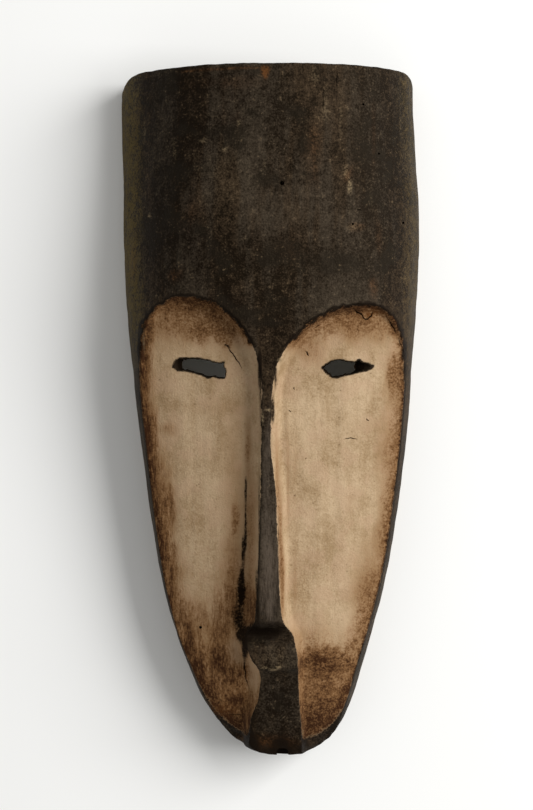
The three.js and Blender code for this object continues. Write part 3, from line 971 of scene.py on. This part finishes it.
def finish_fields(points, seed):
    """What covers the wood at each point, each from 0 to 1. Distances are in millimetres."""
    x, y, z = points.T
    from_chin = y - lower_edge(OUTER_PLAN, x - centre(y))
    rim = np.minimum(half_width(OUTER_PLAN, y) - np.abs(x - centre(y)), from_chin)

    # How far a point lies under the carved face, and the bare wood inside and on the rim
    far_in = np.full(len(x), FLANK)
    ground = face_height(x, y, far_in)
    rise_x = face_height(x + SLOPE_STEP, y, far_in) - face_height(x - SLOPE_STEP, y, far_in)
    rise_y = face_height(x, y + SLOPE_STEP, far_in) - face_height(x, y - SLOPE_STEP, far_in)
    slope = np.hypot(rise_x, rise_y) / (2 * SLOPE_STEP)
    under = (ground - z) / np.sqrt(1 + slope**2) * smooth(TOP - y, 1.5, 4)
    bare = smooth(under, 1.2, 3) * smooth(rim, 2.6, 4)
    bare = np.maximum(bare, smooth(-z, -0.3, -0.02))
    outside = 1 - bare

    # The clay in the cheeks, how far its edge is, and the dark line along the brow arches, which
    # is partly dirt and partly painted shade in the crease at the brow's foot
    clay = np.zeros(len(x))
    edge = np.full(len(x), FAR)
    arch_line_shade = np.zeros(len(x))
    fray = (noise(x, y, z, FRAY, seed + 30) - 0.5) * (0.4 + 1.2 * smooth(y, 5, 25))
    for shape in CHEEKS:
        outer, inner = [inset + fray for inset in cheek_insets(shape, x, y)]
        arch = inner + FAR * (1 - smooth(y, 10, 26))
        along = 0.7 + 0.3 * smooth(y, 12, 24) - 0.4 * smooth(y, 34, 40) * smooth(-x, 0, 9)
        off_line = (np.minimum(outer, arch) + 0.2) / ARCH_LINE
        arch_line_shade = np.maximum(arch_line_shade, np.exp(-(off_line**2)) * along * (inner > -2))
        cover = smooth(outer, -0.6, 1) * smooth(inner, -0.3, 0.4)
        edge = np.where(cover > clay, np.minimum(outer, arch), edge)
        clay = np.maximum(clay, cover)
    clay = clay * smooth(from_chin, 3, 9)

    # Brown wood that shows through the clay near its edge, most of all down the left side and
    # towards the chin
    edge = np.maximum(edge, 0)
    reach = 2.6 + 3 * smooth(y, 10, 34) + 2.4 * smooth(-x, 0, 20)
    brown = 0.9 + 2 * smooth(-x, 0, 20) * smooth(-y, -10, 15)
    haze = 0.42 * np.exp(-edge / reach) + 0.6 * np.exp(-((edge / brown) ** 2))
    haze = np.maximum(haze, 1 - smooth(from_chin, 5, 18))

    # Black on the lips of the eye slits and in everything that is cut into the face, which paints
    # shade on the slit walls and in the cracks, holes and notch, with some dirt
    slits = np.min([outside_by(eye["outline"], x, y) for eye in EYES], axis=0)
    slit_lip_shade = np.exp(-((slits / SLIT_LIP_SHADE_WIDTH) ** 2)) * smooth(-under, -6, -4.5)
    cuts = smooth(under, 0.5, 1) * smooth(rim, 3, 5) * outside
    # The olive dust on the upper flanks is stronger on the left, where it is partly dust and
    # partly painted light on the left flank
    dust_and_left_light = 0.35 + 0.65 * smooth(-x, -10, 10)
    return {
        "clay": clay * outside,
        "dirt_and_shade": 1 - (1 - stain(x, y, DIRT_AND_SHADE, seed + 20)) * (1 - haze),
        "black": np.max([stain(x, y, BLACK, seed + 22), cuts, slit_lip_shade, arch_line_shade], axis=0),
        "red": stain(x, y, RED, seed + 24) * outside,
        "pale": stain(x, y, PALE, seed + 26) * outside,
        "rubbed_and_sheen": stain(x, y, RUBBED_AND_SHEEN, seed + 32) * outside,
        "dust_and_side_light": smooth(-rim, -12, -3) * smooth(y, 0, 50) * outside * dust_and_left_light,
        "soot": stain(x, y, SOOTY, seed + 28),
        "bare": bare,
    }


def linear(colour):
    """An sRGB hex colour as linear light."""
    parts = [int(colour[i : i + 2], 16) / 255 for i in (1, 3, 5)]
    return (*[p / 12.92 if p <= 0.04045 else ((p + 0.055) / 1.055) ** 2.4 for p in parts], 1)


def add(tree, kind, inputs, output=0, **settings):
    """Adds a node with its settings, and its inputs as values or links, and gives one output."""
    made = tree.nodes.new(kind)
    for name, value in settings.items():
        setattr(made, name, value)
    for name, value in inputs.items():
        if isinstance(value, bpy.types.NodeSocket):
            tree.links.new(value, made.inputs[name])
        else:
            made.inputs[name].default_value = value
    return made.outputs[output]


# The sizes of the finish's patterns, in millimetres. Real wood fibres are about 0.1 mm wide, too
# fine to show, so the grain is drawn coarser
CLOUD = 15
BLUSH = 8
MOTTLE = 2.4
SPECK = 0.7
BAND = 9
STREAK = 2.7
GRAIN = 0.45
GRAIN_STRETCH = 0.12
PORE_DEPTH = 0.3
FIBRE_DEPTH = 0.25

# The direction along which the smear on the lower left cheek fades out, and from where to where,
# in millimetres
LOW_LEFT = (1, 0.3, 0)
LOW_LEFT_FADE = (-40, -20)

# Colours of the finish
SOOT = "#0f0904"
SOOT_WARM = "#47392a"
SOOT_GREY = "#433a2f"
SOOT_COLD = "#1b1711"
FLECK = "#68573f"
CLAY = "#b59d7e"
CLAY_DIM = "#937a5b"
CLAY_ROSY = "#ad9074"
# The two stain colours also paint shade in the hollow beside the nose
CLAY_STAIN_AND_SHADE = "#835f3c"
WOOD_STAIN_AND_SHADE = "#351f11"
# Black dirt, which also paints shade in recesses and the shadow beside the nose
BLACK_DIRT_AND_SHADE = "#0d0704"
RED_WOOD = "#5c381a"
# The pale wear also paints one highlight on the nose
PALE_WEAR_AND_HIGHLIGHT = "#7d6c52"
# The rubbed grey is partly a painted sheen on the nose
RUBBED_GREY_AND_SHEEN = "#50463c"
# The side dust is partly painted light on the left flank
SIDE_DUST_AND_LIGHT = "#57481f"
BARE_WOOD = "#463523"
BARE_WOOD_LIGHT = "#6b5438"
OILY_SHEEN = "#ffe0bc"
PAPER = "#efefed"
PAPER_GLOW = "#fff8e2"


def carved_wood(clay_colour, soot_colour):
    """Old wood blackened with soot and oil, which gives the forehead and nose a dull dark skin;
    kaolin clay rubbed thin over the cheeks, matt and chalky, with the brown wood showing through
    at its worn edges; and bare dry wood in the hollow and in fresh cuts."""
    material = bpy.data.materials.new("carved_wood")
    material.use_nodes = True
    tree = material.node_tree
    tree.nodes.clear()
    place = add(tree, "ShaderNodeTexCoord", {}, "Object")
    along = add(tree, "ShaderNodeMapping", {"Vector": place, "Scale": (1, GRAIN_STRETCH, 1)})
    cloud, blush, mottle, speck, band, streak, grain = [
        add(
            tree,
            "ShaderNodeTexNoise",
            {"Vector": vector, "Scale": 1 / (size * MM), "Detail": detail, "Roughness": rough},
        )
        for vector, size, detail, rough in (
            (place, CLOUD, 3, 0.5),
            (place, BLUSH, 4, 0.6),
            (place, MOTTLE, 5, 0.7),
            (place, SPECK, 2, 0.6),
            (along, BAND, 3, 0.55),
            (along, STREAK, 3, 0.55),
            (along, GRAIN, 4, 0.6),
        )
    ]
    rough_mix = add(tree, "ShaderNodeMath", {0: speck, 1: mottle}, operation="ADD")
    fibrous = add(tree, "ShaderNodeMath", {0: streak, 1: grain}, operation="ADD")
    wear = add(tree, "ShaderNodeMix", {0: 0.15, 2: rough_mix, 3: fibrous}, data_type="FLOAT")

    # Dirt, and the painted shade among it, is mottled, but on the lower left cheek it runs down
    # along the grain
    lean = {0: place, 1: LOW_LEFT}
    low_left = add(tree, "ShaderNodeVectorMath", lean, "Value", operation="DOT_PRODUCT")
    start, end = [at * MM for at in LOW_LEFT_FADE]
    fade = {"Value": low_left, "From Min": start, "From Max": end, "To Min": 0.5, "To Max": 0.1}
    run_down = add(tree, "ShaderNodeMapRange", fade)
    bold = add(tree, "ShaderNodeMath", {0: fibrous, 1: 1.8, 2: -0.8}, operation="MULTIPLY_ADD")
    smear = add(tree, "ShaderNodeMix", {0: run_down, 2: rough_mix, 3: bold}, data_type="FLOAT")

    # How light the sooty wood is: by wear, in clouds and in bands along the grain, which are grey
    sooty = add(tree, "ShaderNodeAttribute", {}, "Fac", attribute_name="soot")
    tone = wear
    for pattern, weight in ((sooty, -0.27), (cloud, 0.45), (band, 0.55)):
        weighed = {0: pattern, 1: weight, 2: tone}
        tone = add(tree, "ShaderNodeMath", weighed, operation="MULTIPLY_ADD")
    light = add(tree, "ShaderNodeMapRange", {"Value": tone, "From Min": 1.25, "From Max": 1.79})
    greyed = add(
        tree,
        "ShaderNodeMapRange",
        {"Value": band, "From Min": 0.42, "From Max": 0.58},
        interpolation_type="SMOOTHSTEP",
    )

    # How chalky the clay is: dimmer in patches, along faint streaks and in its pores
    powder = cloud
    for pattern, weight in ((streak, 0.5), (rough_mix, 0.65)):
        weighed = {0: pattern, 1: weight, 2: powder}
        powder = add(tree, "ShaderNodeMath", weighed, operation="MULTIPLY_ADD")
    chalky = add(tree, "ShaderNodeMapRange", {"Value": powder, "From Min": 1.16, "From Max": 1.6})
    light_soot, chalk, bare_wood = [
        add(
            tree,
            "ShaderNodeMix",
            {0: share, 6: linear(first), 7: second},
            2,
            data_type="RGBA",
        )
        for share, first, second in (
            (greyed, SOOT_WARM, linear(SOOT_GREY)),
            (chalky, CLAY_DIM, (*clay_colour, 1)),
            (streak, BARE_WOOD, linear(BARE_WOOD_LIGHT)),
        )
    ]
    ends = {0: light, 6: (*soot_colour, 1), 7: light_soot}
    soot = add(tree, "ShaderNodeMix", ends, 2, data_type="RGBA")

    # Each tint as (what it lies on, pattern, where it starts and ends, how much it covers there,
    # colour): cold patches, pale flecks and dark fibres on the soot, and a blush on the clay
    grounds = {"soot": soot, "clay": chalk}
    tints = [
        ("soot", cloud, 0.46, 0.36, 0, 0.6, SOOT_COLD),
        ("soot", rough_mix, 1.16, 1.4, 0, 0.6, FLECK),
        ("soot", grain, 0.36, 0.5, 0.25, 0, BLACK_DIRT_AND_SHADE),
        ("clay", blush, 0.46, 0.62, 0, 0.45, CLAY_ROSY),
    ]
    for ground, pattern, low, high, least, most, tint in tints:
        share = add(
            tree,
            "ShaderNodeMapRange",
            {"Value": pattern, "From Min": low, "From Max": high, "To Min": least, "To Max": most},
            interpolation_type="SMOOTHSTEP",
        )
        tinted = {0: share, 6: grounds[ground], 7: linear(tint)}
        grounds[ground] = add(tree, "ShaderNodeMix", tinted, 2, data_type="RGBA")

    # Each cover as (attribute, colour, what breaks it up and how strongly, where it starts and
    # ends, most it covers). Dirt, with the painted shade among it, lies only where the clay does
    covers = [
        ("bare", bare_wood, rough_mix, 1, 0.3, 0.7, 1),
        ("dust_and_side_light", linear(SIDE_DUST_AND_LIGHT), wear, 5, 0, 1.5, 0.8),
        ("clay", grounds["clay"], rough_mix, 1.4, 0.35, 0.65, 1),
        ("dirt_and_shade", linear(CLAY_STAIN_AND_SHADE), smear, 1.5, 0, 0.75, 1),
        ("dirt_and_shade", linear(WOOD_STAIN_AND_SHADE), smear, 1.8, 0.28, 1.15, 1),
        ("red", linear(RED_WOOD), rough_mix, 3, 0, 1, 0.8),
        ("rubbed_and_sheen", linear(RUBBED_GREY_AND_SHEEN), fibrous, 3, 0, 1.1, 0.9),
        ("pale", linear(PALE_WEAR_AND_HIGHLIGHT), rough_mix, 4, 0, 1, 0.8),
        ("black", linear(BLACK_DIRT_AND_SHADE), rough_mix, 1.6, 0.1, 0.8, 0.97),
    ]
    colour = grounds["soot"]
    for name, paint, pattern, strength, low, high, most in covers:
        field = add(tree, "ShaderNodeAttribute", {}, "Fac", attribute_name=name)
        spread = {0: pattern, 1: strength, 2: 1 - strength}
        change = add(tree, "ShaderNodeMath", spread, operation="MULTIPLY_ADD")
        broken = add(tree, "ShaderNodeMath", {0: field, 1: change}, operation="MULTIPLY")
        share = add(
            tree,
            "ShaderNodeMapRange",
            {"Value": broken, "From Min": low, "From Max": high, "To Max": most},
            interpolation_type="SMOOTHSTEP",
        )
        if name == "clay":
            clay_cover = share
        if name == "dirt_and_shade":
            share = add(tree, "ShaderNodeMath", {0: share, 1: clay_cover}, operation="MULTIPLY")
        painted = {0: share, 6: colour, 7: paint}
        colour = add(tree, "ShaderNodeMix", painted, 2, data_type="RGBA")

    # Clay is duller than oiled soot. Pores and fibres give both a fine roughness
    dull = add(tree, "ShaderNodeMapRange", {"Value": clay_cover, "To Min": 0.55, "To Max": 0.9})
    uneven = {0: mottle, 1: 0.25, 2: dull}
    rough = add(tree, "ShaderNodeMath", uneven, operation="MULTIPLY_ADD", use_clamp=True)
    pores = {"Strength": 0.6, "Distance": PORE_DEPTH * MM, "Height": rough_mix}
    fibres = {"Strength": 0.3, "Distance": FIBRE_DEPTH * MM, "Height": grain}
    fibres["Normal"] = add(tree, "ShaderNodeBump", pores)
    shader = add(
        tree,
        "ShaderNodeBsdfPrincipled",
        {
            "Base Color": colour,
            "Roughness": rough,
            "Normal": add(tree, "ShaderNodeBump", fibres),
            "IOR": 1.45,
            "Specular IOR Level": 0.12,
            "Specular Tint": linear(OILY_SHEEN),
        },
    )
    output = tree.nodes.new("ShaderNodeOutputMaterial")
    tree.links.new(shader, output.inputs["Surface"])
    return material


def lit_paper(colour, glow):
    """Plain matt paper with a faint light under it, which keeps the shadows on it pale."""
    material = bpy.data.materials.new("paper")
    material.use_nodes = True
    shader = material.node_tree.nodes["Principled BSDF"]
    shader.inputs["Base Color"].default_value = (*colour, 1)
    shader.inputs["Roughness"].default_value = 0.9
    shader.inputs["Specular IOR Level"].default_value = 0.1
    shader.inputs["Emission Color"].default_value = linear(PAPER_GLOW)
    shader.inputs["Emission Strength"].default_value = glow
    return material


# The stage, in metres: how far the floor reaches to each side, the key light, the film's width in
# millimetres, and the place on the floor that the camera looks straight down on
FLOOR_REACH = 3
LIGHT_PLACE = (1, 0.3, 0.9)
LIGHT_SIZE = 1
SENSOR_WIDTH = 36
CAMERA_OVER = (-0.0013, 0.0036)


class MaskSettings(bpy.types.PropertyGroup):
    seed: bpy.props.IntProperty(
        name="Seed",
        description="Start of the random tool marks and stains",
        default=7,
        min=0,
    )
    relief: bpy.props.FloatProperty(
        name="Relief",
        description="Strength of the tool marks on the outside, where 1 is as carved",
        default=1,
        min=0,
        max=2,
        subtype="FACTOR",
    )
    crease: bpy.props.FloatProperty(
        name="Crease",
        description="Angle between faces from which an edge is shown sharp",
        default=math.radians(50),
        subtype="ANGLE",
    )
    clay: bpy.props.FloatVectorProperty(
        name="Clay",
        description="Colour of the clay on the cheeks where it is chalky",
        default=linear(CLAY)[:3],
        subtype="COLOR",
        size=3,
    )
    soot: bpy.props.FloatVectorProperty(
        name="Soot",
        description="Colour of the wood where it is most sooty",
        default=linear(SOOT)[:3],
        subtype="COLOR",
        size=3,
    )


class StageSettings(bpy.types.PropertyGroup):
    camera_height: bpy.props.FloatProperty(
        name="Camera height",
        description="Height of the camera above the floor",
        default=0.75,
        unit="LENGTH",
    )
    focal_length: bpy.props.FloatProperty(
        name="Focal length",
        description="Focal length of the lens, in millimetres",
        default=88.4,
        unit="CAMERA",
    )
    key_power: bpy.props.FloatProperty(
        name="Key light",
        description="Power of the soft light from the right",
        default=24,
        unit="POWER",
    )
    ambient: bpy.props.FloatProperty(
        name="Ambient light",
        description="Strength of the even light from all round",
        default=0.42,
        min=0,
    )
    floor_glow: bpy.props.FloatProperty(
        name="Floor glow",
        description="Strength of the faint light under the floor",
        default=0.022,
        min=0,
    )
    floor_colour: bpy.props.FloatVectorProperty(
        name="Floor",
        description="Colour of the floor",
        default=linear(PAPER)[:3],
        subtype="COLOR",
        size=3,
    )


class CARVED_MASK_OT_carve(bpy.types.Operator):
    """Carves the mask, cuts its hollow, eyes, cracks and worm holes, and gives it its finish"""

    bl_idname = "carved_mask.carve"
    bl_label = "Carve the mask"
    bl_options = {"REGISTER", "UNDO"}

    def execute(self, context):
        settings = context.scene.mask_settings
        rows = np.concatenate(
            [
                TOP - np.array(TOP_ROWS),
                np.arange(TOP - TOP_WEAR, BROW_LINE, -FOREHEAD_STEP),
                np.arange(BROW_LINE, JAW + FACE_STEP / 2, -FACE_STEP),
                [JAW],
            ]
        )
        outside = surface(
            OUTER_PLAN, rows, OUTSIDE_FAN, OUTSIDE_FLANK, OUTSIDE_ACROSS, face_height
        )
        mask = close_solid("face_mask", *outside, 0, END_ROWS)
        points = read_points(mask.data)
        normals = read_points(mask.data, "normal")
        relief = outside_relief(points, normals, settings.seed) * settings.relief
        on_rim = points[:, 2] < RIM_LEVEL
        normals[on_rim, 2] = 0
        moved = points - normals * (relief * np.where(on_rim, 0.5, 1))[:, None]
        moved[:, 2] = np.where(on_rim, 0, np.maximum(moved[:, 2], 2 * RIM_LEVEL))
        write_points(mask.data, moved)

        rows = np.concatenate(
            [
                INNER_PLAN[1] - np.array(INSIDE_TOP_ROWS),
                np.arange(INNER_PLAN[1] - INSIDE_STEP, JAW + 1, -INSIDE_STEP),
                [JAW],
            ]
        )
        inside = surface(INNER_PLAN, rows, INSIDE_FAN, INSIDE_FLANK, INSIDE_ACROSS, inside_height)
        hollow = close_solid("hollow_cutter", *inside, -BELOW_RIM, 2)
        points = read_points(hollow.data)
        normals = read_points(hollow.data, "normal")
        scooped = inside_relief(points, settings.seed + 10) * smooth(points[:, 2], 0.5, 6)
        write_points(hollow.data, points + normals * scooped[:, None])

        random = np.random.default_rng(settings.seed)
        notch = turned_left(NOTCH)
        cutters = [
            hollow,
            *[eye_cutter(eye, random) for eye in EYES],
            loft("notch_cutter", [[(x, y, z) for x, y in notch] for z in (ABOVE, NOTCH_FLOOR)]),
        ]
        cutters += [worm_cutter(*hole) for hole in WORM_HOLES]
        cutters += [crack_cutter(*crack, random) for crack in CRACKS]
        cut_with(mask, cutters)

        fields = finish_fields(read_points(mask.data), settings.seed)
        for name, values in fields.items():
            field = mask.data.attributes.new(name, "FLOAT", "POINT")
            field.data.foreach_set("value", values.astype(np.float32))
        mask.data.materials.clear()
        mask.data.materials.append(carved_wood(settings.clay, settings.soot))
        mask.data.shade_smooth()
        mask.data.set_sharp_from_angle(angle=settings.crease)
        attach(mask, "root")
        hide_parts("mask")
        return {"FINISHED"}


class CARVED_MASK_OT_stage(bpy.types.Operator):
    """Lays a pale floor, sets the soft lights and puts the camera straight above"""

    bl_idname = "carved_mask.stage"
    bl_label = "Set the stage"
    bl_options = {"REGISTER", "UNDO"}

    def execute(self, context):
        settings = context.scene.stage_settings
        scene = context.scene
        corners = [(-1, -1), (1, -1), (1, 1), (-1, 1)]
        corners = [(x * FLOOR_REACH, y * FLOOR_REACH, 0) for x, y in corners]
        mesh = bpy.data.meshes.new("floor")
        mesh.from_pydata(corners, [], [(0, 1, 2, 3)])
        mesh.materials.append(lit_paper(settings.floor_colour, settings.floor_glow))
        floor = bpy.data.objects.new("floor", mesh)
        scene.collection.objects.link(floor)

        world = bpy.data.worlds.new("soft_room")
        world.use_nodes = True
        background = world.node_tree.nodes["Background"]
        background.inputs["Color"].default_value = (1, 1, 1, 1)
        background.inputs["Strength"].default_value = settings.ambient
        scene.world = world
        scene.view_settings.view_transform = "Standard"

        data = bpy.data.lights.new("key", "AREA")
        data.shape = "SQUARE"
        data.size = LIGHT_SIZE
        data.energy = settings.key_power
        light = bpy.data.objects.new("key", data)
        light.location = LIGHT_PLACE
        towards = -light.location
        light.rotation_euler = towards.to_track_quat("-Z", "Y").to_euler()
        scene.collection.objects.link(light)

        camera = bpy.data.cameras.new("camera")
        camera.lens = settings.focal_length
        camera.sensor_width = SENSOR_WIDTH
        camera.clip_start = 0.05
        camera.clip_end = 10
        viewer = bpy.data.objects.new("camera", camera)
        viewer.location = (*CAMERA_OVER, settings.camera_height)
        scene.collection.objects.link(viewer)
        scene.camera = viewer
        return {"FINISHED"}


class CARVED_MASK_PT_panel(bpy.types.Panel):
    """The mask's settings"""

    bl_idname = "CARVED_MASK_PT_panel"
    bl_label = "Carved face mask"
    bl_space_type = "VIEW_3D"
    bl_region_type = "UI"
    bl_category = "Mask"

    def draw(self, context):
        layout = self.layout
        for group in (context.scene.mask_settings, context.scene.stage_settings):
            for name in group.bl_rna.properties.keys():
                if name not in ("rna_type", "name"):
                    layout.prop(group, name)
        layout.operator("carved_mask.carve")
        layout.operator("carved_mask.stage")


CLASSES = (
    MaskSettings,
    StageSettings,
    CARVED_MASK_OT_carve,
    CARVED_MASK_OT_stage,
    CARVED_MASK_PT_panel,
)


def register():
    for kind in CLASSES:
        bpy.utils.register_class(kind)
    bpy.types.Scene.mask_settings = bpy.props.PointerProperty(type=MaskSettings)
    bpy.types.Scene.stage_settings = bpy.props.PointerProperty(type=StageSettings)


def unregister():
    del bpy.types.Scene.stage_settings
    del bpy.types.Scene.mask_settings
    for kind in reversed(CLASSES):
        bpy.utils.unregister_class(kind)


def main():
    register()
    bpy.ops.carved_mask.stage()
    bpy.ops.carved_mask.carve()


if __name__ == "__main__":
    main()
